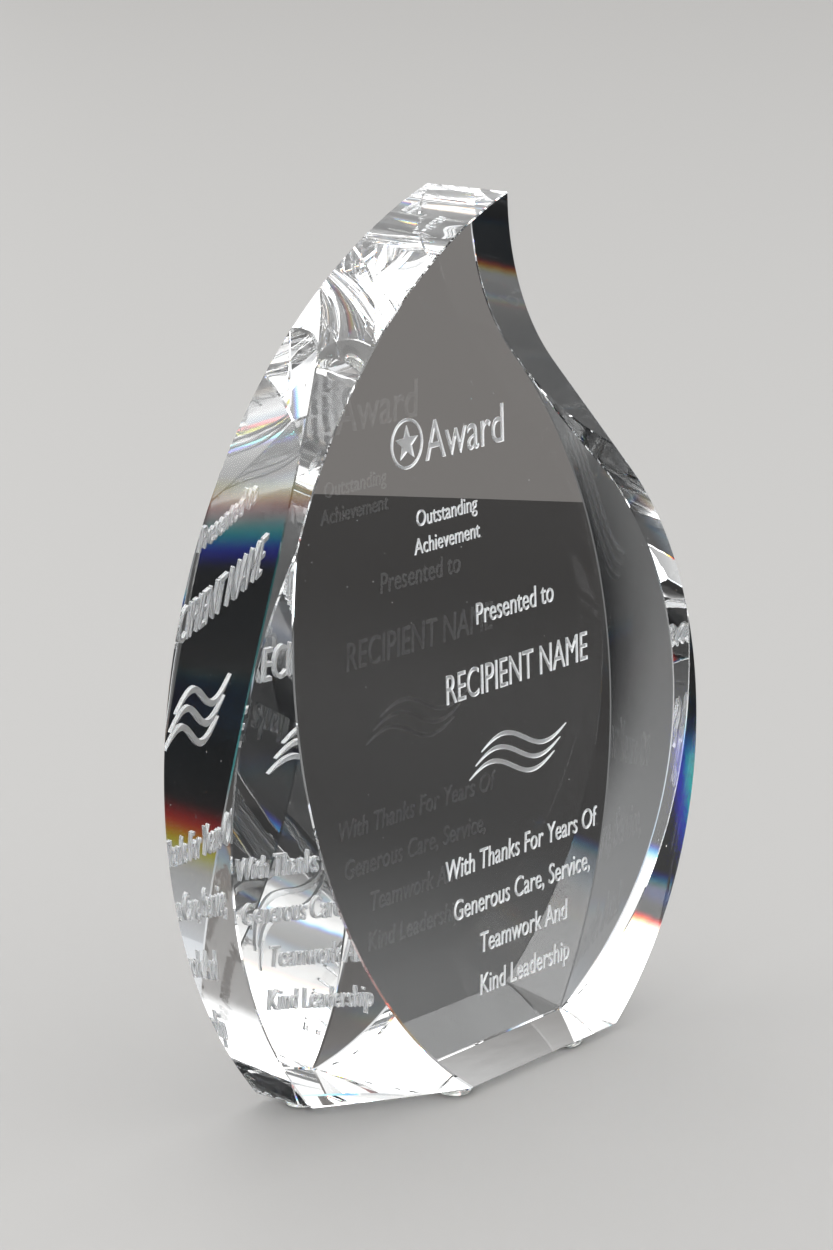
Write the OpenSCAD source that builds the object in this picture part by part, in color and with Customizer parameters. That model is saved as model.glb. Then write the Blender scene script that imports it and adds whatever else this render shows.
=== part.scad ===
// Flame award: one wedge-shaped crystal block with two conical bevels, standing on four clear
// self-adhesive bumpers.
// Millimetres, +Z up. The origin is the middle of the footprint, on the surface the award stands on.
// +X is the viewer's right, -Y is the engraved front face.

/* [Crystal block] */
// Height of the crystal block, from its flat base to the tip
crystal_h = 188; // [170:1:210]
// Thickness of the block at its base
base_t = 34; // [30:0.5:40]
// Thickness of the block at the height of the tip
tip_t = 21; // [16:0.5:28]

/* [Flame outline] */
// How far the round left side reaches from the centre line
left_reach = 73.7; // [70:0.1:78]
// Height above the base where the left side is widest
left_z = 78.5; // [74:0.5:84]
// How far the round right side reaches from the centre line
right_reach = 73.7; // [70:0.1:78]
// Height above the base where the right side is widest
right_z = 65.8; // [62:0.1:70]
// Radius of the round right side
right_r = 81.8; // [78:0.1:86]
// Angle of the straight shoulder, from the vertical
shoulder_angle = 45; // [42:1:48]
// Distance of the tip's upright edge from the centre line
tip_x = 7.7; // [5:0.1:10]
// Radius of the hollow curve between the tip and the shoulder
neck_r = 50; // [40:1:52]

/* [Bevels] */
// Centre of the front bevel's inner edge, right of the centre line
front_bevel_x = 57; // [52:0.5:62]
// Height above the base of the centre of the front bevel's inner edge
front_bevel_z = 102; // [98:0.5:106]
// Height above the base where the front bevel runs out into the left side
front_bevel_top = 125; // [118:1:132]
// Centre of the back bevel's inner edge, left of the centre line
back_bevel_x = 62.4; // [58:0.1:66]
// Height above the base of the centre of the back bevel's inner edge
back_bevel_z = 64.6; // [61:0.1:68]
// Height above the base where the back bevel runs out into the shoulder
back_bevel_top = 147; // [142:1:149]

/* [Bumpers] */
// Height of one bumper with its adhesive disc
foot_h = 2; // [1.6:0.1:3]
// Diameter of a bumper
foot_d = 8; // [6:0.5:9]
// Width of the rounded lower rim of a bumper
foot_rim = 0.7; // [0.4:0.1:0.9]
// How much narrower the bumper's side gets towards the surface, on the radius
foot_taper = 0.3; // [0.1:0.1:0.5]
// Thickness of an adhesive disc
adhesive_t = 0.15; // [0.1:0.05:0.3]
// How far an adhesive disc stays inside the bumper's edge
adhesive_inset = 0.25; // [0.1:0.05:0.5]

/* [Hidden] */

// Bumper centres on the base, [x, y]
front_left = [-11.2, -11.6];
front_right = [28, -12.2];
rear_left = [-36.6, 9.4];
rear_right = [31, 11.6];

// Circle of the left side, through the tip and tangent to the left reach
tip_span = tip_x + left_reach;
left_r = (tip_span * tip_span + pow(crystal_h - left_z, 2)) / (2 * tip_span);
left_cx = left_r - left_reach;

// Circle of the right side, and the point where the straight shoulder leaves it
right_cx = right_reach - right_r;
shoulder_low = [
    right_cx + right_r * cos(shoulder_angle),
    right_z + right_r * sin(shoulder_angle)
];

// The shoulder line meets the tip's upright line in a corner, which the neck circle rounds
corner_z = shoulder_low[1] + (shoulder_low[0] - tip_x) / tan(shoulder_angle);
neck_tangent = neck_r * tan(shoulder_angle / 2);
neck_center = [tip_x + neck_r, corner_z + neck_tangent];
shoulder_high = [
    tip_x + neck_tangent * sin(shoulder_angle),
    corner_z - neck_tangent * cos(shoulder_angle)
];

// Each face leans inwards by the same angle
lean = atan((base_t - tip_t) / 2 / crystal_h);

// The bevels are 45 degree cones, whose inner circles run through their run-out points
front_runout = [left_cx - sqrt(left_r * left_r - pow(front_bevel_top - left_z, 2)), front_bevel_top];
front_bevel_r = norm(front_runout - [front_bevel_x, front_bevel_z]);
back_runout = [
    shoulder_low[0] - (back_bevel_top - shoulder_low[1]) * tan(shoulder_angle),
    back_bevel_top
];
back_bevel_r = norm(back_runout - [-back_bevel_x, back_bevel_z]);

foot_r = foot_d / 2;
reach = 2 * crystal_h;
overshoot = 1;
$fn = 96;

// Everything left of the tip's upright line, the hollow neck and the straight shoulder
module upper_region() {
    difference() {
        polygon([
            [-reach, 0], [right_cx, 0], shoulder_low, shoulder_high,
            [tip_x, neck_center[1]], [tip_x, reach], [-reach, reach]
        ]);
        translate(neck_center) circle(r = neck_r);
    }
}

// Flame outline, seen from the front, with its flat base on the X axis
module flame_outline() {
    intersection() {
        translate([left_cx, left_z]) circle(r = left_r);
        union() {
            translate([right_cx, right_z]) circle(r = right_r);
            upper_region();
        }
        translate([-reach / 2, 0]) square(reach);
    }
}

// Side view of the wedge, thick at the base and thin at the top
module wedge() {
    half_base = base_t / 2;
    half_top = base_t / 2 - reach / 2 * tan(lean);
    translate([-reach / 2, 0, 0]) rotate([90, 0, 90]) linear_extrude(reach) polygon([
        [-half_base, 0], [half_base, 0], [half_top, reach / 2], [-half_top, reach / 2]
    ]);
}

// Cone that keeps the inside of a bevel; its axis stands square on the front face
module bevel_cone(x, z, r) {
    translate([0, -base_t / 2, 0]) rotate([-lean, 0, 0])
        translate([x, -overshoot, z]) rotate([-90, 0, 0])
            cylinder(h = base_t + 2 * overshoot, r1 = r - overshoot, r2 = r + base_t + overshoot);
}

// What the back bevel takes off the right side, up to its run-out point
module back_bevel_cut() {
    difference() {
        translate([back_runout[0] - base_t, -base_t, -overshoot])
            cube([reach / 2, 2 * base_t, back_bevel_top + overshoot]);
        mirror([0, 1, 0]) bevel_cone(-back_bevel_x, back_bevel_z, back_bevel_r);
    }
}

module crystal_body() {
    color([0.86, 0.9, 0.92, 0.45]) translate([0, 0, foot_h]) difference() {
        intersection() {
            rotate([90, 0, 0]) linear_extrude(2 * base_t, center = true) flame_outline();
            wedge();
            bevel_cone(front_bevel_x, front_bevel_z, front_bevel_r);
        }
        back_bevel_cut();
    }
}

// Moulded bumper: flat on top, a slightly tapered side and a rounded lower rim
module foot(at) {
    top = foot_h - adhesive_t;
    low_r = foot_r - foot_taper;
    rim = [for (a = [0 : 15 : 90]) [low_r - foot_rim * (1 - cos(a)), foot_rim * (1 - sin(a))]];
    color([0.82, 0.84, 0.82, 0.6]) translate(at)
        rotate_extrude() polygon(concat([[0, 0], [0, top], [foot_r, top]], rim));
}

// Die-cut disc of clear adhesive between a bumper and the crystal's base
module adhesive(at) {
    color([0.9, 0.9, 0.86, 0.5]) translate([at[0], at[1], foot_h - adhesive_t])
        cylinder(h = adhesive_t, r = foot_r - adhesive_inset);
}

crystal_body();
foot(front_left);  // foot_front_left
foot(front_right);  // foot_front_right
foot(rear_left);  // foot_rear_left
foot(rear_right);  // foot_rear_right
adhesive(front_left);  // adhesive_front_left
adhesive(front_right);  // adhesive_front_right
adhesive(rear_left);  // adhesive_rear_left
adhesive(rear_right);  // adhesive_rear_right
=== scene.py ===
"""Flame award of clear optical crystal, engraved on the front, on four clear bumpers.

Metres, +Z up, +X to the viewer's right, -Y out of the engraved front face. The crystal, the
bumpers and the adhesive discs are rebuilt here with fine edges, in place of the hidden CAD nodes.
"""

import math

import bmesh
import bpy
from mathutils import Euler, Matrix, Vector
from mathutils.geometry import delaunay_2d_cdt


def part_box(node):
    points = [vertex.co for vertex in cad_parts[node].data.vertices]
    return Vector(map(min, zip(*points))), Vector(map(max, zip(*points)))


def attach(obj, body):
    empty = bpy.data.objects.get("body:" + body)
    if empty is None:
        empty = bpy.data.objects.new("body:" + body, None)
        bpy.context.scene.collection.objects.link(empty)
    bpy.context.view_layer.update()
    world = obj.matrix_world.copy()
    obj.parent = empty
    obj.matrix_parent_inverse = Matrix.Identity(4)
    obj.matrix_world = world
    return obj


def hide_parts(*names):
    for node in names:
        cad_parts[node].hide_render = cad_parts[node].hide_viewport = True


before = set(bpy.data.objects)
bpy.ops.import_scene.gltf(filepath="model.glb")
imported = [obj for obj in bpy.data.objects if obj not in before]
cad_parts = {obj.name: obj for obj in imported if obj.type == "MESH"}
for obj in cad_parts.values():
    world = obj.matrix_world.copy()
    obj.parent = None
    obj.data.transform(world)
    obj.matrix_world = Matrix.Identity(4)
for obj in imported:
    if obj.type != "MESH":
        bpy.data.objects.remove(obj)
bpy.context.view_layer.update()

MM = 0.001

# ---------------------------------------------------------------- the crystal's dimensions
BLOCK_LOW, BLOCK_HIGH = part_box("crystal_body")
BASE_Z = BLOCK_LOW.z
CRYSTAL_H = BLOCK_HIGH.z - BASE_Z
BASE_T = BLOCK_HIGH.y - BLOCK_LOW.y
LEFT_REACH = 73.7 * MM
RIGHT_REACH = 73.7 * MM
TIP_T = 21 * MM
TIP_X = 7.7 * MM
LEFT_Z = 78.5 * MM
RIGHT_Z = 65.8 * MM
RIGHT_R = 81.8 * MM
SHOULDER = math.radians(45)
NECK_R = 50 * MM
FRONT_BEVEL = Vector((57 * MM, 102 * MM))
FRONT_BEVEL_TOP = 125 * MM
BACK_BEVEL = Vector((-62.4 * MM, 64.6 * MM))
BACK_BEVEL_TOP = 147 * MM
LEAN = math.atan((BASE_T - TIP_T) / 2 / CRYSTAL_H)

EDGE_CUT = 0.25 * MM  # how far the polished safety bevel reaches from each edge
OUTLINE_STEP = 1.2 * MM
ENGRAVE_DEPTH = 0.5 * MM
WELD = 2e-6  # points closer than this are one point
SHARP_ANGLE = math.radians(10)
FACES, SIDES, CARVED_FLOOR, CARVED_WALL = range(4)  # order of the crystal's materials

# ---------------------------------------------------------------- the engraving's dimensions
CAPITAL_SHARE = 0.729  # height of a capital letter in the built-in font, as a share of its size
CURVE_STEPS = 5  # points on each curve of a letter
EMBLEM = Vector((-28 * MM, 141 * MM))
EMBLEM_STEPS = 48
RING_OUTER, RING_INNER = 5.2 * MM, 4.6 * MM
STAR_OUTER, STAR_INNER, STAR_POINTS = 3.8 * MM, 1.6 * MM, 5
# Each line of lettering: words, capital height, middle, baseline over the base, width share
LINES = [
    ("Award", 8.6 * MM, -8.5 * MM, 136.5 * MM, 0.84),
    ("Outstanding", 3.5 * MM, -15.5 * MM, 123.5 * MM, 0.86),
    ("Achievement", 3.5 * MM, -15.5 * MM, 117.8 * MM, 0.86),
    ("Presented to", 4.8 * MM, 7 * MM, 99.5 * MM, 0.8),
    ("RECIPIENT NAME", 6.6 * MM, 7.5 * MM, 84.5 * MM, 0.72),
]
WAVE = Vector((7 * MM, 69.5 * MM))
WAVE_LENGTH, WAVE_HEIGHT, WAVE_HALF_WIDTH = 30 * MM, 2.4 * MM, 0.5 * MM
WAVE_SHIFT = 2.2 * MM  # how far each wave stands to the right of the one below it
WAVE_RISE = 2.6 * MM  # how far each wave stands above the one below it
THANKS = ["With Thanks For Years Of", "Generous Care, Service,", "Teamwork And", "Kind Leadership"]
THANKS_SIZE, THANKS_X, THANKS_TOP, THANKS_PITCH = 4.6 * MM, 7.5 * MM, 47 * MM, 9.1 * MM
THANKS_NARROW, THANKS_SLANT = 0.78, 0.1

# ---------------------------------------------------------------- the bumpers' dimensions
BUMPER_RIM = 0.7 * MM  # radius of the rounded lower rim
BUMPER_TAPER = 0.3 * MM
BUMPER_EDGE = 0.08 * MM
DIMPLE_RADIUS, DIMPLE_DEPTH, DIMPLE_STEPS = 1.6 * MM, 0.12 * MM, 6
RIM_STEPS = 8
SEAM_PLACE = 0.62  # height of the mould line, as a share of the bumper's height
SEAM_HALF, SEAM_REACH = 0.05 * MM, 0.03 * MM
DISC_GAP = 0.004 * MM  # space above and below an adhesive disc
DISC_STEPS = 6
BUMPER_SHARP_ANGLE = math.radians(32)


# ---------------------------------------------------------------- outline of the flame
def arc(center, radius, start, end):
    """Points on an arc, from angle start up to but not including end."""
    count = max(2, math.ceil(abs(end - start) * radius / OUTLINE_STEP))
    angles = [start + (end - start) * i / count for i in range(count)]
    return [center + radius * Vector((math.cos(a), math.sin(a))) for a in angles]


def line(start, end):
    """Points on a line, from start up to but not including end."""
    count = max(1, math.ceil((end - start).length / OUTLINE_STEP))
    return [start.lerp(end, i / count) for i in range(count)]


def angle_to(center, point):
    """Angle of point about center, from 0 to a full turn."""
    return math.atan2(point.y - center.y, point.x - center.x) % math.tau


def cut_corner(loop, corner):
    """The loop with its corner point replaced by two points, one on each side of it."""
    i = min(range(len(loop)), key=lambda k: (loop[k] - corner).length)
    before = loop[i] + (loop[i - 1] - loop[i]).normalized() * EDGE_CUT
    after = loop[i] + (loop[(i + 1) % len(loop)] - loop[i]).normalized() * EDGE_CUT
    return loop[:i] + [before, after] + loop[i + 1:]


def flame_outline():
    """The flame seen from the front, as (x, height over the base), and its two bevel radii."""
    tip = Vector((TIP_X, CRYSTAL_H))
    span = TIP_X + LEFT_REACH
    left_r = (span**2 + (CRYSTAL_H - LEFT_Z) ** 2) / (2 * span)
    left = Vector((left_r - LEFT_REACH, LEFT_Z))
    right = Vector((RIGHT_REACH - RIGHT_R, RIGHT_Z))
    left_corner = Vector((left.x - math.sqrt(left_r**2 - LEFT_Z**2), 0))
    right_corner = Vector((right.x + math.sqrt(RIGHT_R**2 - RIGHT_Z**2), 0))

    slope = Vector((-math.cos(SHOULDER), math.sin(SHOULDER)))
    shoulder_low = right + RIGHT_R * Vector((math.cos(SHOULDER), math.sin(SHOULDER)))
    corner_z = shoulder_low.y + (shoulder_low.x - TIP_X) / math.tan(SHOULDER)
    tangent = NECK_R * math.tan(SHOULDER / 2)
    neck = Vector((TIP_X + NECK_R, corner_z + tangent))
    shoulder_high = Vector((TIP_X, corner_z)) - slope * tangent

    front_runout = Vector((
        left.x - math.sqrt(left_r**2 - (FRONT_BEVEL_TOP - LEFT_Z) ** 2), FRONT_BEVEL_TOP
    ))
    back_runout = shoulder_low + slope * (BACK_BEVEL_TOP - shoulder_low.y) / slope.y
    front_r = (front_runout - FRONT_BEVEL).length
    back_r = (back_runout - BACK_BEVEL).length
    front_foot = Vector((FRONT_BEVEL.x - math.sqrt(front_r**2 - FRONT_BEVEL.y**2), 0))
    back_foot = Vector((BACK_BEVEL.x + math.sqrt(back_r**2 - BACK_BEVEL.y**2), 0))

    loop = (
        line(left_corner, front_foot)
        + line(front_foot, back_foot)
        + line(back_foot, right_corner)
        + arc(right, RIGHT_R, angle_to(right, right_corner) - math.tau, SHOULDER)
        + line(shoulder_low, back_runout)
        + line(back_runout, shoulder_high)
        + arc(neck, NECK_R, math.pi + SHOULDER, math.pi)
        + line(Vector((TIP_X, neck.y)), tip)
        + arc(left, left_r, angle_to(left, tip), angle_to(left, front_runout))
        + arc(left, left_r, angle_to(left, front_runout), angle_to(left, left_corner))
    )
    for corner in (left_corner, right_corner, tip):
        loop = cut_corner(loop, corner)
    return loop, front_r, back_r


# ---------------------------------------------------------------- faces of the wedge
def face_y(height):
    """Half the block's thickness at a height over its base."""
    return BASE_T / 2 - height * math.tan(LEAN)


def on_face(point, side, depth=0.0):
    """A point of the front (side -1) or back (side 1) face's own plane, in the row frame."""
    along = Vector((0, -side * math.sin(LEAN), math.cos(LEAN)))
    inward = Vector((0, -side * math.cos(LEAN), -math.sin(LEAN)))
    corner = Vector((point.x, side * BASE_T / 2, BASE_Z))
    return corner + along * point.y + inward * depth


def bevel_depth(point, side, center, radius):
    """How far from the mid-plane a 45 degree cone meets the wall line through an outline point."""
    y = face_y(point.y)
    for _ in range(6):
        gap = BASE_T / 2 - y
        along = gap * math.sin(LEAN) + point.y * math.cos(LEAN)
        depth = math.hypot(point.x - center.x, along - center.y) - radius
        y = BASE_T / 2 - (depth + point.y * math.sin(LEAN)) / math.cos(LEAN)
    return min(y, face_y(point.y))


def rim(point, inward, side, cone):
    """One column's points from the face, over the bevel where there is one, onto the wall."""
    outer_y = face_y(point.y)
    edge = Vector((point.x, point.y / math.cos(LEAN)))
    inset = edge + inward * EDGE_CUT
    if cone is not None:
        center, radius = cone
        outer_y = bevel_depth(point, side, center, radius)
        outward = (inset - center).normalized()
        if (inset - center).length > radius - EDGE_CUT:
            inset = center + outward * (radius - EDGE_CUT)
        if outer_y < face_y(point.y) - WELD:
            edge = center + outward * radius
    outer = Vector((point.x, side * outer_y, BASE_Z + point.y))
    inner = on_face(edge, side)
    face_side = on_face(inset, side)
    wall_side = outer - Vector((0, side * EDGE_CUT, 0))
    width = (outer - inner).length
    share = min(1.0, width / (2 * EDGE_CUT))
    middle = (face_side + wall_side) / 2
    cut = min(EDGE_CUT, width / 2)
    along = (outer - inner).normalized() if width > WELD else Vector()
    upper = middle.lerp(inner + along * cut, share)
    lower = middle.lerp(outer - along * cut, share)
    return [face_side, upper, lower, wall_side]


def columns(loop, front_r, back_r):
    """For each outline point, the eight points from the front face round to the back face."""
    made = []
    for i, point in enumerate(loop):
        before = (point - loop[i - 1]).normalized()
        after = (loop[(i + 1) % len(loop)] - point).normalized()
        inward = Vector((-before.y - after.y, before.x + after.x)) / (1 + before.dot(after))
        back_cone = (BACK_BEVEL, back_r)
        has_back = point.x > 0 and point.y < BACK_BEVEL_TOP
        front = rim(point, inward, -1, (FRONT_BEVEL, front_r))
        back = rim(point, inward, 1, back_cone if has_back else None)
        made.append(front + back[::-1])
    return made


# ---------------------------------------------------------------- engraving
def text_loops(words, size, center_x, baseline, narrow, slant=0.0):
    """Closed outlines of a line of lettering on the front face; size is its capital height."""
    curve = bpy.data.curves.new("lettering", "FONT")
    curve.body = words
    curve.align_x = "CENTER"
    curve.size = size / CAPITAL_SHARE
    curve.shear = slant
    curve.resolution_u = CURVE_STEPS
    curve.fill_mode = "NONE"
    holder = bpy.data.objects.new("lettering", curve)
    mesh = holder.to_mesh()
    near = {v.index: [] for v in mesh.vertices}
    for e in mesh.edges:
        near[e.vertices[0]].append(e.vertices[1])
        near[e.vertices[1]].append(e.vertices[0])
    loops, left = [], set(near)
    while left:
        start = min(left)
        path, here = [], start
        while here in left:
            left.discard(here)
            path.append(here)
            here = next((n for n in near[here] if n in left), start)
        if len(path) > 2:
            spots = [mesh.vertices[k].co for k in path]
            loops.append([Vector((center_x + narrow * p.x, baseline + p.y)) for p in spots])
    holder.to_mesh_clear()
    bpy.data.objects.remove(holder)
    bpy.data.curves.remove(curve)
    return loops


def circle_loop(center, radius, count):
    """A round outline."""
    return [
        center + radius * Vector((math.cos(a), math.sin(a)))
        for a in (math.tau * i / count for i in range(count))
    ]


def star_loop(center, outer, inner, points):
    """A star's outline, one point up."""
    made = []
    for i in range(2 * points):
        radius = inner if i % 2 else outer
        angle = math.pi / 2 + math.pi * i / points
        made.append(center + radius * Vector((math.cos(angle), math.sin(angle))))
    return made


def wave_loop(center, length, height, half_width, lift, steps=40):
    """A ribbon along one gentle wave, tapered to both ends."""
    upper, lower = [], []
    for i in range(steps + 1):
        u = i / steps
        middle = center + Vector(((u - 0.5) * length, lift + height * math.sin(math.tau * u)))
        half = half_width * (0.12 + math.sin(math.pi * u) ** 0.7)
        upper.append(middle + Vector((0, half)))
        lower.append(middle - Vector((0, half)))
    return upper + lower[::-1]


def engraving():
    """Every outline cut into the front face, as (x, distance up the face from the base)."""
    loops = [
        circle_loop(EMBLEM, RING_OUTER, EMBLEM_STEPS),
        circle_loop(EMBLEM, RING_INNER, EMBLEM_STEPS),
        star_loop(EMBLEM, STAR_OUTER, STAR_INNER, STAR_POINTS),
    ]
    for values in LINES:
        loops += text_loops(*values)
    for k in (-1, 0, 1):
        middle = WAVE + Vector((WAVE_SHIFT * k, 0))
        loops.append(wave_loop(middle, WAVE_LENGTH, WAVE_HEIGHT, WAVE_HALF_WIDTH, WAVE_RISE * k))
    for k, words in enumerate(THANKS):
        baseline = THANKS_TOP - THANKS_PITCH * k
        loops += text_loops(
            words, THANKS_SIZE, THANKS_X, baseline, THANKS_NARROW, THANKS_SLANT
        )
    return loops


def triangles(loops):
    """The points and triangles that fill closed outlines, leaving their holes open."""
    points, rings = [], []
    for loop in loops:
        turning = sum(a.x * b.y - a.y * b.x for a, b in zip(loop, loop[1:] + loop[:1]))
        ring = list(range(len(points), len(points) + len(loop)))
        rings.append(ring if turning > 0 else ring[::-1])
        points += [p / MM for p in loop]
    made = delaunay_2d_cdt(points, [], rings, 1, 1e-5)
    inside = [f for f, around in zip(made[2], made[5]) if len(around) % 2]
    return [p * MM for p in made[0]], inside


def fill_face(bm, loops, side, depth=0.0, material=FACES):
    """Adds a flat filling parallel to the front or back face; gives its faces and corners."""
    points, faces = triangles(loops)
    verts = [bm.verts.new(on_face(p, side, depth)) for p in points]
    made = []
    for f in faces:
        face = bm.faces.new([verts[k] for k in f])
        face.material_index = material
        made.append(face)
    return made, verts, points


def build_crystal(materials):
    """The whole crystal as one closed mesh: faces, bevels, walls, safety bevels and engraving."""
    loop, front_r, back_r = flame_outline()
    rows = columns(loop, front_r, back_r)
    cuts = engraving()
    bm = bmesh.new()

    grid = [[bm.verts.new(p) for p in row] for row in rows]
    for i, row in enumerate(grid):
        after = grid[(i + 1) % len(grid)]
        for k in range(len(row) - 1):
            side = bm.faces.new([row[k], row[k + 1], after[k + 1], after[k]])
            side.material_index = SIDES

    front, back = [
        [Vector((row[end].x, (row[end].z - BASE_Z) / math.cos(LEAN))) for row in rows]
        for end in (0, -1)
    ]
    fill_face(bm, [front] + cuts, -1)
    fill_face(bm, [back], 1)

    floor, corners, points = fill_face(bm, cuts, -1, ENGRAVE_DEPTH, material=CARVED_FLOOR)
    at = dict(zip(corners, points))
    for face in floor:
        for edge in face.edges:
            if len(edge.link_faces) == 1:
                a, b = edge.verts
                top = [bm.verts.new(on_face(at[v], -1)) for v in (b, a)]
                wall = bm.faces.new([a, b] + top)
                wall.material_index = CARVED_WALL
    bmesh.ops.remove_doubles(bm, verts=bm.verts, dist=WELD)
    bmesh.ops.recalc_face_normals(bm, faces=bm.faces)

    mesh = bpy.data.meshes.new("crystal_block")
    bm.to_mesh(mesh)
    bm.free()
    for m in materials:
        mesh.materials.append(m)
    mesh.shade_smooth()
    mesh.set_sharp_from_angle(angle=SHARP_ANGLE)
    block = bpy.data.objects.new("crystal_block", mesh)
    bpy.context.scene.collection.objects.link(block)
    return block


# ---------------------------------------------------------------- bumpers
def lathe(name, center, profile, material, segments=64):
    """A closed turned body: profile is (radius, height) from the axis out and back to the axis."""
    bm = bmesh.new()
    rings = []
    for radius, height in profile:
        if radius < WELD:
            rings.append([bm.verts.new((center.x, center.y, height))])
            continue
        rings.append([
            bm.verts.new((
                center.x + radius * math.cos(math.tau * i / segments),
                center.y + radius * math.sin(math.tau * i / segments),
                height,
            ))
            for i in range(segments)
        ])
    for low, high in zip(rings, rings[1:]):
        for i in range(segments):
            j = (i + 1) % segments
            if len(low) == 1:
                bm.faces.new([low[0], high[j], high[i]])
            elif len(high) == 1:
                bm.faces.new([low[i], low[j], high[0]])
            else:
                bm.faces.new([low[i], low[j], high[j], high[i]])
    bmesh.ops.recalc_face_normals(bm, faces=bm.faces)
    mesh = bpy.data.meshes.new(name)
    bm.to_mesh(mesh)
    bm.free()
    mesh.materials.append(material)
    mesh.shade_smooth()
    mesh.set_sharp_from_angle(angle=BUMPER_SHARP_ANGLE)
    made = bpy.data.objects.new(name, mesh)
    bpy.context.scene.collection.objects.link(made)
    return made


def build_bumper(node, name, material):
    """A moulded bumper: tapered side, rounded lower rim, mould line, and a dimple underneath."""
    low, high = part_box(node)
    radius = (high.x - low.x) / 2
    foot_r = radius - BUMPER_TAPER
    seam_z = low.z + SEAM_PLACE * (high.z - low.z)

    def side(z):
        """Radius of the tapered side at a height."""
        return foot_r + BUMPER_TAPER * (z - low.z - BUMPER_RIM) / (high.z - low.z - BUMPER_RIM)

    profile = [(0, low.z + DIMPLE_DEPTH)]
    for k in range(1, DIMPLE_STEPS + 1):
        share = k / DIMPLE_STEPS
        lift = DIMPLE_DEPTH * math.cos(math.pi / 2 * share)
        profile.append((DIMPLE_RADIUS * share, low.z + lift))
    for k in range(RIM_STEPS + 1):
        a = math.pi / 2 * k / RIM_STEPS
        profile.append((
            foot_r - BUMPER_RIM + BUMPER_RIM * math.sin(a),
            low.z + BUMPER_RIM * (1 - math.cos(a)),
        ))
    profile += [
        (side(seam_z - SEAM_HALF), seam_z - SEAM_HALF),
        (side(seam_z) + SEAM_REACH, seam_z),
        (side(seam_z + SEAM_HALF), seam_z + SEAM_HALF),
        (side(high.z - BUMPER_EDGE), high.z - BUMPER_EDGE),
        (radius - BUMPER_EDGE, high.z),
        (0, high.z),
    ]
    return lathe(name, (low + high) / 2, profile, material)


def build_adhesive(node, name, material):
    """A die-cut disc of adhesive, its edge squeezed slightly round."""
    low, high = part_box(node)
    radius = (high.x - low.x) / 2
    bottom, top = low.z + DISC_GAP, high.z - DISC_GAP
    half = (top - bottom) / 2
    profile = [(0, bottom)]
    for k in range(DISC_STEPS + 1):
        a = -math.pi / 2 + math.pi * k / DISC_STEPS
        profile.append((radius - half + half * math.cos(a), bottom + half + half * math.sin(a)))
    profile.append((0, top))
    return lathe(name, (low + high) / 2, profile, material)


# ---------------------------------------------------------------- materials
# Noise scales are in cells per metre
CRYSTAL_IOR, BUMPER_IOR, ADHESIVE_IOR = 1.52, 1.49, 1.47
MIDDLE = (0.3, 0.7)  # the range in which smooth noise mostly lies
POLISH_SCALE = 110
FACE_WAVINESS, SIDE_WAVINESS = 0.0006 * MM, 0.006 * MM
PIT_SPACING, PIT_RADIUS, PIT_DEPTH = 5.5 * MM, 0.16 * MM, 0.05 * MM
FROST_SCALE, FROST_DEPTH, FROST_VARIATION = 4200, 0.02 * MM, 0.08
FLOW_SCALE, FLOW_DEPTH = 420, 0.03 * MM
MATT_SCALE, MATT_DEPTH = 6000, 0.004 * MM
DUST_SPACING, DUST_RADIUS = 0.9 * MM, 0.09 * MM
CLOUD_SCALE = 900
BUBBLE_SPACING, BUBBLE_RADIUS, BUBBLE_DEPTH = 0.7 * MM, 0.16 * MM, 0.02 * MM


def new_material(name):
    """A material with its node tree, and its shader."""
    material = bpy.data.materials.new(name)
    material.use_nodes = True
    return material, material.node_tree, material.node_tree.nodes["Principled BSDF"]


def add(tree, kind, **values):
    """A new node with some of its input sockets set, or linked where the value is a socket."""
    node = tree.nodes.new(kind)
    for name, value in values.items():
        socket = node.inputs[name.replace("_", " ")]
        if isinstance(value, bpy.types.NodeSocket):
            tree.links.new(value, socket)
        else:
            socket.default_value = value
    return node


def noise(tree, place, scale, detail=2.0):
    """Smooth noise over the object's own coordinates, in cells per metre."""
    return add(tree, "ShaderNodeTexNoise", Vector=place, Scale=scale, Detail=detail).outputs["Fac"]


def ranged(tree, value, low, high, to_low, to_high):
    """A value moved from one range to another."""
    node = add(tree, "ShaderNodeMapRange", Value=value)
    node.inputs["From Min"].default_value = low
    node.inputs["From Max"].default_value = high
    node.inputs["To Min"].default_value = to_low
    node.inputs["To Max"].default_value = to_high
    return node.outputs["Result"]


def bumped(tree, height, distance, before=None):
    """A normal raised by height times distance in metres."""
    node = add(tree, "ShaderNodeBump", Height=height, Distance=distance, Strength=1.0)
    if before is not None:
        tree.links.new(before, node.inputs["Normal"])
    return node.outputs["Normal"]


def specks(tree, place, spacing, size):
    """Sparse round pits, 1 at their middle: spacing between them and their radius, in metres."""
    cells = add(tree, "ShaderNodeTexVoronoi", Vector=place, Scale=1 / spacing)
    return ranged(tree, cells.outputs["Distance"], size / spacing, 0, 0, 1)


def toned(tree, factor, first, second):
    """A colour between the first, where factor is 0, and the second, where it is 1."""
    node = add(tree, "ShaderNodeMix", Factor=factor)
    node.data_type = "RGBA"
    node.inputs[6].default_value = (*first, 1)
    node.inputs[7].default_value = (*second, 1)
    return node.outputs[2]


def object_place(tree):
    """The point on the piece, in its own coordinates."""
    return tree.nodes.new("ShaderNodeTexCoord").outputs["Object"]


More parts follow.
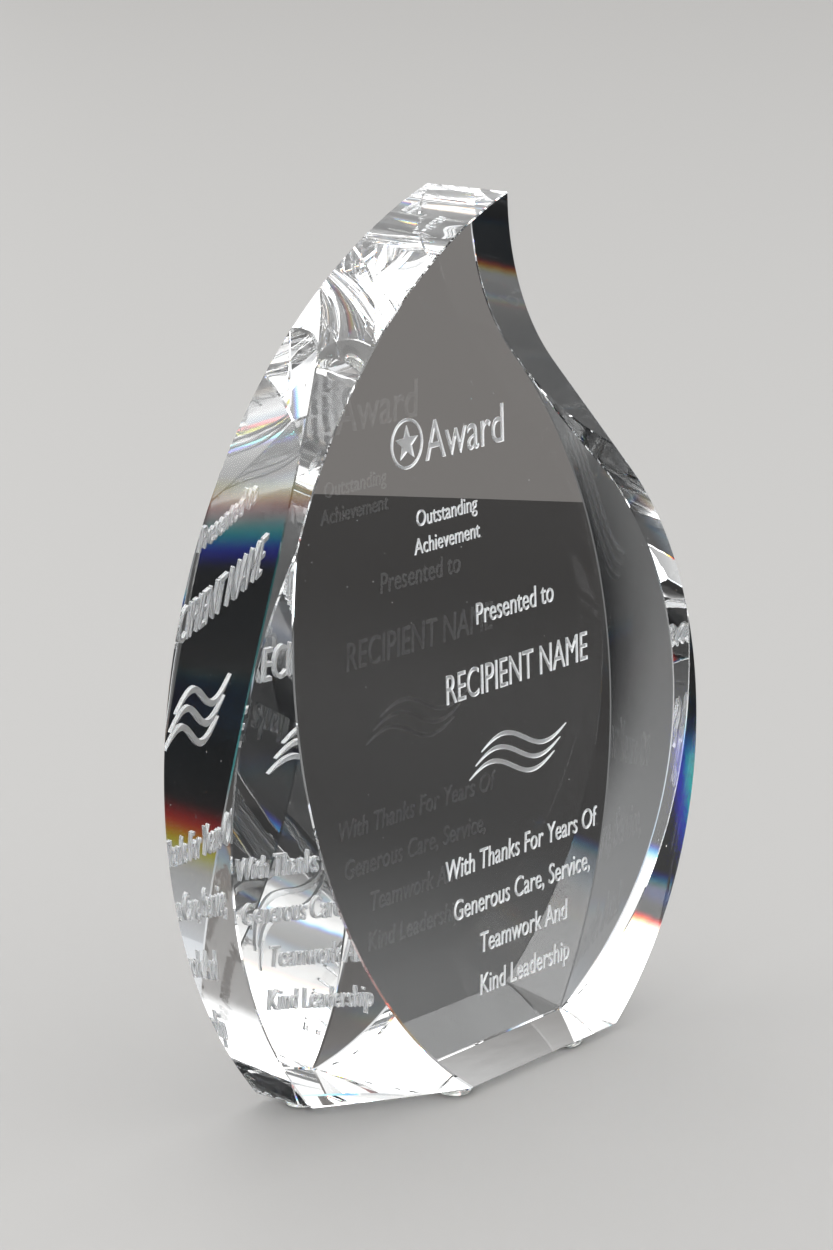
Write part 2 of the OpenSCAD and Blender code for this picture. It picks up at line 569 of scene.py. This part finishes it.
def crystal_material(name, waviness):
    """Polished crystal: water clear, with the faint waviness of hand polishing and a few pits."""
    material, tree, shader = new_material(name)
    shader.inputs["Base Color"].default_value = (0.985, 0.994, 0.992, 1)
    shader.inputs["Transmission Weight"].default_value = 1
    shader.inputs["Roughness"].default_value = 0.0
    shader.inputs["IOR"].default_value = CRYSTAL_IOR
    place = object_place(tree)
    polish = bumped(tree, noise(tree, place, POLISH_SCALE, 1.5), waviness)
    pits = bumped(tree, specks(tree, place, PIT_SPACING, PIT_RADIUS), PIT_DEPTH, polish)
    tree.links.new(pits, shader.inputs["Normal"])
    return material


def carved_material(name, clearness, roughness):
    """Sand-carved crystal: an even frost with fine grain."""
    material, tree, shader = new_material(name)
    shader.inputs["Transmission Weight"].default_value = clearness
    shader.inputs["IOR"].default_value = CRYSTAL_IOR
    place = object_place(tree)
    grain = noise(tree, place, FROST_SCALE, 3)
    tone = toned(tree, grain, (0.86, 0.88, 0.9), (1, 1, 1))
    low, high = roughness - FROST_VARIATION, roughness + FROST_VARIATION
    tree.links.new(tone, shader.inputs["Base Color"])
    tree.links.new(ranged(tree, grain, *MIDDLE, low, high), shader.inputs["Roughness"])
    tree.links.new(bumped(tree, grain, FROST_DEPTH), shader.inputs["Normal"])
    return material


def bumper_material():
    """Clear moulded polyurethane: soft moulding waves, fine matt grain and a little dust."""
    material, tree, shader = new_material("clear_polyurethane")
    shader.inputs["Transmission Weight"].default_value = 0.92
    shader.inputs["IOR"].default_value = BUMPER_IOR
    place = object_place(tree)
    flow = noise(tree, place, FLOW_SCALE, 3)
    dust = specks(tree, place, DUST_SPACING, DUST_RADIUS)
    tone = toned(tree, dust, (0.93, 0.95, 0.93), (0.7, 0.7, 0.66))
    tree.links.new(tone, shader.inputs["Base Color"])
    tree.links.new(ranged(tree, flow, *MIDDLE, 0.05, 0.18), shader.inputs["Roughness"])
    waves = bumped(tree, flow, FLOW_DEPTH)
    grain = bumped(tree, noise(tree, place, MATT_SCALE, 2), MATT_DEPTH, waves)
    tree.links.new(grain, shader.inputs["Normal"])
    return material


def adhesive_material():
    """Clear adhesive film, slightly cloudy where small air bubbles are caught in it."""
    material, tree, shader = new_material("adhesive_film")
    shader.inputs["Transmission Weight"].default_value = 0.85
    shader.inputs["IOR"].default_value = ADHESIVE_IOR
    place = object_place(tree)
    cloud = noise(tree, place, CLOUD_SCALE, 3)
    bubbles = specks(tree, place, BUBBLE_SPACING, BUBBLE_RADIUS)
    tone = toned(tree, cloud, (0.92, 0.93, 0.9), (0.84, 0.85, 0.81))
    tree.links.new(tone, shader.inputs["Base Color"])
    tree.links.new(ranged(tree, cloud, *MIDDLE, 0.18, 0.35), shader.inputs["Roughness"])
    tree.links.new(bumped(tree, bubbles, BUBBLE_DEPTH), shader.inputs["Normal"])
    return material


# ---------------------------------------------------------------- the object
block = build_crystal([
    crystal_material("polished_faces", FACE_WAVINESS),
    crystal_material("polished_sides", SIDE_WAVINESS),
    carved_material("carved_floor", 0.8, 0.42),
    carved_material("carved_wall", 0.1, 0.6),
])
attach(block, "root")
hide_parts("crystal_body")

bumper_look = bumper_material()
adhesive_look = adhesive_material()
for place in ("front_left", "front_right", "rear_left", "rear_right"):
    bumper = build_bumper("foot_" + place, "bumper_" + place, bumper_look)
    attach(bumper, "root")
    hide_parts("foot_" + place)
    disc = build_adhesive("adhesive_" + place, "film_" + place, adhesive_look)
    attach(disc, "root")
    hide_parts("adhesive_" + place)


# ---------------------------------------------------------------- camera, stage and light
CAMERA_PLACE = (-0.6856, -0.5275, 0.3101)
CAMERA_PITCH, CAMERA_TURN = 13.77, -52.04  # degrees down from level, and round from +Y
CAMERA_LENS, CAMERA_SENSOR = 121.7, 36

FLOOR_HALF = 12.0
FLOOR_COLOUR, FLOOR_ROUGHNESS, FLOOR_GLOSS = (0.3, 0.297, 0.294), 0.6, 0.25
GLOSS_COLOUR, GLOSS_ROUGHNESS, GLOSS_GLOSS = (0.012, 0.014, 0.016), 0.05, 0.5
GLOSS_FAR, GLOSS_NEAR = 0.48, -2.0  # ends of the gloss card, along the view from the crystal
GLOSS_HALF, GLOSS_DROP = 2.0, 0.5 * MM

CENTRE = Vector((0, 0, (BLOCK_LOW.z + BLOCK_HIGH.z) / 2))
CARD_DISTANCE = 3.0
CARD_GAP = 0.03  # each card stands this much nearer than the one before, so it covers it
CARD_STEP = 4  # most degrees between the rows of a card's mesh
CARD_FADE = 0.18  # share of a card's half width that its soft edge takes
CARD_ROUND = 0.2  # how round a card's corners are
# Each card: name, azimuth, elevation, width and height in degrees, radiance, and, where they
# differ from add_card's own, the colour split in degrees and the tint
CARDS = [
    ("softbox_front", -114, 44, 66, 60, 3.0, 0.5),
    ("softbox_right", -12, 40, 60, 50, 2.4, 0),
    ("softbox_rear", 80, 46, 80, 46, 2.6, 0),
    ("softbox_left", 110, 25, 64, 58, 3.0, 0.4),
    ("flag_right", 10, 22, 26, 26, 0.06, 1.6),
    ("flag_left", 148, 16, 32, 52, 0.04),
    ("flag_left_high", 154, 43, 32, 28, 0.25),
    ("flag_rear", 70, 8, 12, 42, 0.03, 0),
    ("flag_camera", -146, 6, 42, 34, 0.2),
    ("flag_front", -92, 2, 80, 24, 0.04, 0),
    ("flag_front_right", -42, 4, 30, 32, 0.1, 0),
    ("backdrop", 36, -2, 22, 44, 0.2, 0, (1.06, 1.0, 0.96)),
    ("lamp_right", -34.2, 10.6, 0.5, 2.2, 14, 0.2),
    ("lamp_front", -128, 56, 5, 5, 14, 1.2),
    ("lamp_rear", 62, 58, 6, 6, 14, 1.2),
    ("lamp_left", 112, 62, 5, 5, 14, 1.2),
]

SKY_LOW, SKY_HIGH = (0.72, 0.73, 0.75, 1), (1.2, 1.19, 1.17, 1)
SKY_HIGH_FROM = 0.6  # upward part of a direction from which the sky has its full brightness
MATT_GAIN = 1.8  # how much more of the even light falls on matt surfaces than shows in the glass
GLASS_BOUNCES, CLEAR_BOUNCES = 32, 16  # light passes through many faces of glass and many cards


def add_camera():
    """The photograph's viewpoint: from the left of the front, slightly above."""
    data = bpy.data.cameras.new("camera")
    data.sensor_width = CAMERA_SENSOR
    data.lens = CAMERA_LENS
    data.clip_start = 0.05
    data.clip_end = 50
    camera = bpy.data.objects.new("camera", data)
    bpy.context.scene.collection.objects.link(camera)
    camera.location = CAMERA_PLACE
    camera.rotation_euler = Euler((
        math.radians(90 - CAMERA_PITCH), 0, math.radians(CAMERA_TURN)
    ))
    bpy.context.scene.camera = camera
    return camera


def stage_mesh(name, points, faces, material):
    """A thin piece of the stage."""
    mesh = bpy.data.meshes.new(name)
    mesh.from_pydata(points, [], faces)
    mesh.materials.append(material)
    made = bpy.data.objects.new(name, mesh)
    bpy.context.scene.collection.objects.link(made)
    return made


def floor_material(name, colour, roughness, gloss):
    """A plain matt or glossy floor."""
    material, tree, shader = new_material(name)
    shader.inputs["Base Color"].default_value = (*colour, 1)
    shader.inputs["Roughness"].default_value = roughness
    shader.inputs["Specular IOR Level"].default_value = gloss
    return material


def hide_from_view(piece):
    """Leaves a piece of the stage to be seen only in reflections and through glass."""
    piece.visible_camera = False
    piece.visible_diffuse = False
    piece.visible_shadow = False


def add_floor(camera):
    """The pale floor, and under it a dark gloss card that only the crystal mirrors and refracts."""
    size = FLOOR_HALF
    corners = [(-size, -size, 0), (size, -size, 0), (size, size, 0), (-size, size, 0)]
    pale = floor_material("pale_floor", FLOOR_COLOUR, FLOOR_ROUGHNESS, FLOOR_GLOSS)
    floor = stage_mesh("floor", corners, [(0, 1, 2, 3)], pale)
    floor.visible_transmission = False
    floor.visible_glossy = False

    view = camera.matrix_basis.to_3x3() @ Vector((0, 0, -1))
    view = Vector((view.x, view.y, 0)).normalized()
    across = Vector((-view.y, view.x, 0))
    drop = Vector((0, 0, -GLOSS_DROP))
    spots = [
        (GLOSS_NEAR, -GLOSS_HALF), (GLOSS_FAR, -GLOSS_HALF),
        (GLOSS_FAR, GLOSS_HALF), (GLOSS_NEAR, GLOSS_HALF),
    ]
    points = [view * u + across * v + drop for u, v in spots]
    dark = floor_material("dark_gloss", GLOSS_COLOUR, GLOSS_ROUGHNESS, GLOSS_GLOSS)
    hide_from_view(stage_mesh("gloss_card", points, [(0, 1, 2, 3)], dark))


def card_image(tree, place, width, height, split, shift):
    """One colour's image of a card: 1 in the middle, fading to 0 at its rounded edge."""
    reach = (1 + 2 * split / width, 1 + 2 * split / height)
    centred = add(tree, "ShaderNodeVectorMath")
    centred.operation = "MULTIPLY_ADD"
    centred.inputs[1].default_value = (2 * reach[0], 2 * reach[1], 0)
    centred.inputs[2].default_value = (
        2 * shift / width - reach[0], 2 * shift / height - reach[1], 0
    )
    tree.links.new(place, centred.inputs[0])
    fold = add(tree, "ShaderNodeVectorMath")
    fold.operation = "ABSOLUTE"
    tree.links.new(centred.outputs[0], fold.inputs[0])
    sides = add(tree, "ShaderNodeSeparateXYZ", Vector=fold.outputs[0])
    edge = add(tree, "ShaderNodeMath")
    edge.operation = "SMOOTH_MAX"
    edge.inputs[2].default_value = CARD_ROUND
    tree.links.new(sides.outputs[0], edge.inputs[0])
    tree.links.new(sides.outputs[1], edge.inputs[1])
    fade = ranged(tree, edge.outputs[0], 1.0, 1 - CARD_FADE, 0, 1)
    fade.node.interpolation_type = "SMOOTHSTEP"
    return fade


def card_material(name, width, height, radiance, split, tint):
    """A soft-edged card, its red and blue images a little apart as a prism would show them."""
    material = bpy.data.materials.new(name)
    material.use_nodes = True
    tree = material.node_tree
    tree.nodes.clear()
    place = tree.nodes.new("ShaderNodeTexCoord").outputs["UV"]
    shifts = {"Red": -split, "Green": 0, "Blue": split}
    images = {c: card_image(tree, place, width, height, split, d) for c, d in shifts.items()}
    cover = add(tree, "ShaderNodeCombineColor", **images).outputs["Color"]
    seen = add(tree, "ShaderNodeVectorMath")
    seen.operation = "MULTIPLY"
    seen.inputs[1].default_value = tint
    tree.links.new(cover, seen.inputs[0])
    past = add(tree, "ShaderNodeVectorMath")
    past.operation = "SUBTRACT"
    past.inputs[0].default_value = (1, 1, 1)
    tree.links.new(cover, past.inputs[1])
    glow = add(tree, "ShaderNodeEmission", Strength=radiance, Color=seen.outputs[0])
    clear = add(tree, "ShaderNodeBsdfTransparent", Color=past.outputs[0])
    both = add(tree, "ShaderNodeAddShader")
    tree.links.new(glow.outputs[0], both.inputs[0])
    tree.links.new(clear.outputs[0], both.inputs[1])
    add(tree, "ShaderNodeOutputMaterial", Surface=both.outputs[0])
    return material


def add_card(
    order, name, azimuth, elevation, width, height, radiance, split=1.0, tint=(1, 1, 1)
):
    """A card on a sphere about the crystal: azimuth from +X, elevation and size in degrees.

    Its red image stands split degrees before its green one, and its blue one as far after it.
    """
    distance = CARD_DISTANCE - order * CARD_GAP
    material = card_material(name, width, height, radiance, split, tint)
    width, height = width + 2 * split, height + 2 * split
    across, up = math.ceil(width / CARD_STEP), math.ceil(height / CARD_STEP)
    points, places, faces = [], [], []
    for j in range(up + 1):
        e = math.radians(elevation + (j / up - 0.5) * height)
        for i in range(across + 1):
            a = math.radians(azimuth + (i / across - 0.5) * width)
            away = Vector((math.cos(a) * math.cos(e), math.sin(a) * math.cos(e), math.sin(e)))
            points.append(CENTRE + away * distance)
            places.append((i / across, j / up))
            if i < across and j < up:
                k = len(points) - 1
                faces.append((k, k + 1, k + across + 2, k + across + 1))
    made = stage_mesh(name, points, faces, material)
    layer = made.data.uv_layers.new(name="spread")
    for corner in made.data.loops:
        layer.data[corner.index].uv = places[corner.vertex_index]
    hide_from_view(made)


def add_world():
    """Even studio light: bright overhead, a little dimmer towards the horizon."""
    world = bpy.data.worlds.new("studio")
    bpy.context.scene.world = world
    world.use_nodes = True
    tree = world.node_tree
    place = tree.nodes.new("ShaderNodeTexCoord")
    split = tree.nodes.new("ShaderNodeSeparateXYZ")
    tree.links.new(place.outputs["Generated"], split.inputs[0])
    ramp = tree.nodes.new("ShaderNodeValToRGB")
    ramp.color_ramp.elements[0].position = 0.0
    ramp.color_ramp.elements[0].color = SKY_LOW
    ramp.color_ramp.elements[1].position = SKY_HIGH_FROM
    ramp.color_ramp.elements[1].color = SKY_HIGH
    tree.links.new(split.outputs["Z"], ramp.inputs[0])
    sky = tree.nodes["Background"]
    tree.links.new(ramp.outputs["Color"], sky.inputs["Color"])
    rays = tree.nodes.new("ShaderNodeLightPath")
    strength = ranged(tree, rays.outputs["Is Diffuse Ray"], 0, 1, 1.0, MATT_GAIN)
    tree.links.new(strength, sky.inputs["Strength"])


def set_scene():
    """Plain colour handling, and enough bounces for thick glass."""
    scene = bpy.context.scene
    scene.view_settings.view_transform = "Standard"
    scene.cycles.max_bounces = GLASS_BOUNCES
    scene.cycles.transmission_bounces = GLASS_BOUNCES
    scene.cycles.glossy_bounces = GLASS_BOUNCES
    scene.cycles.transparent_max_bounces = CLEAR_BOUNCES


add_floor(add_camera())
for order, values in enumerate(CARDS):
    add_card(order, *values)
add_world()
set_scene()
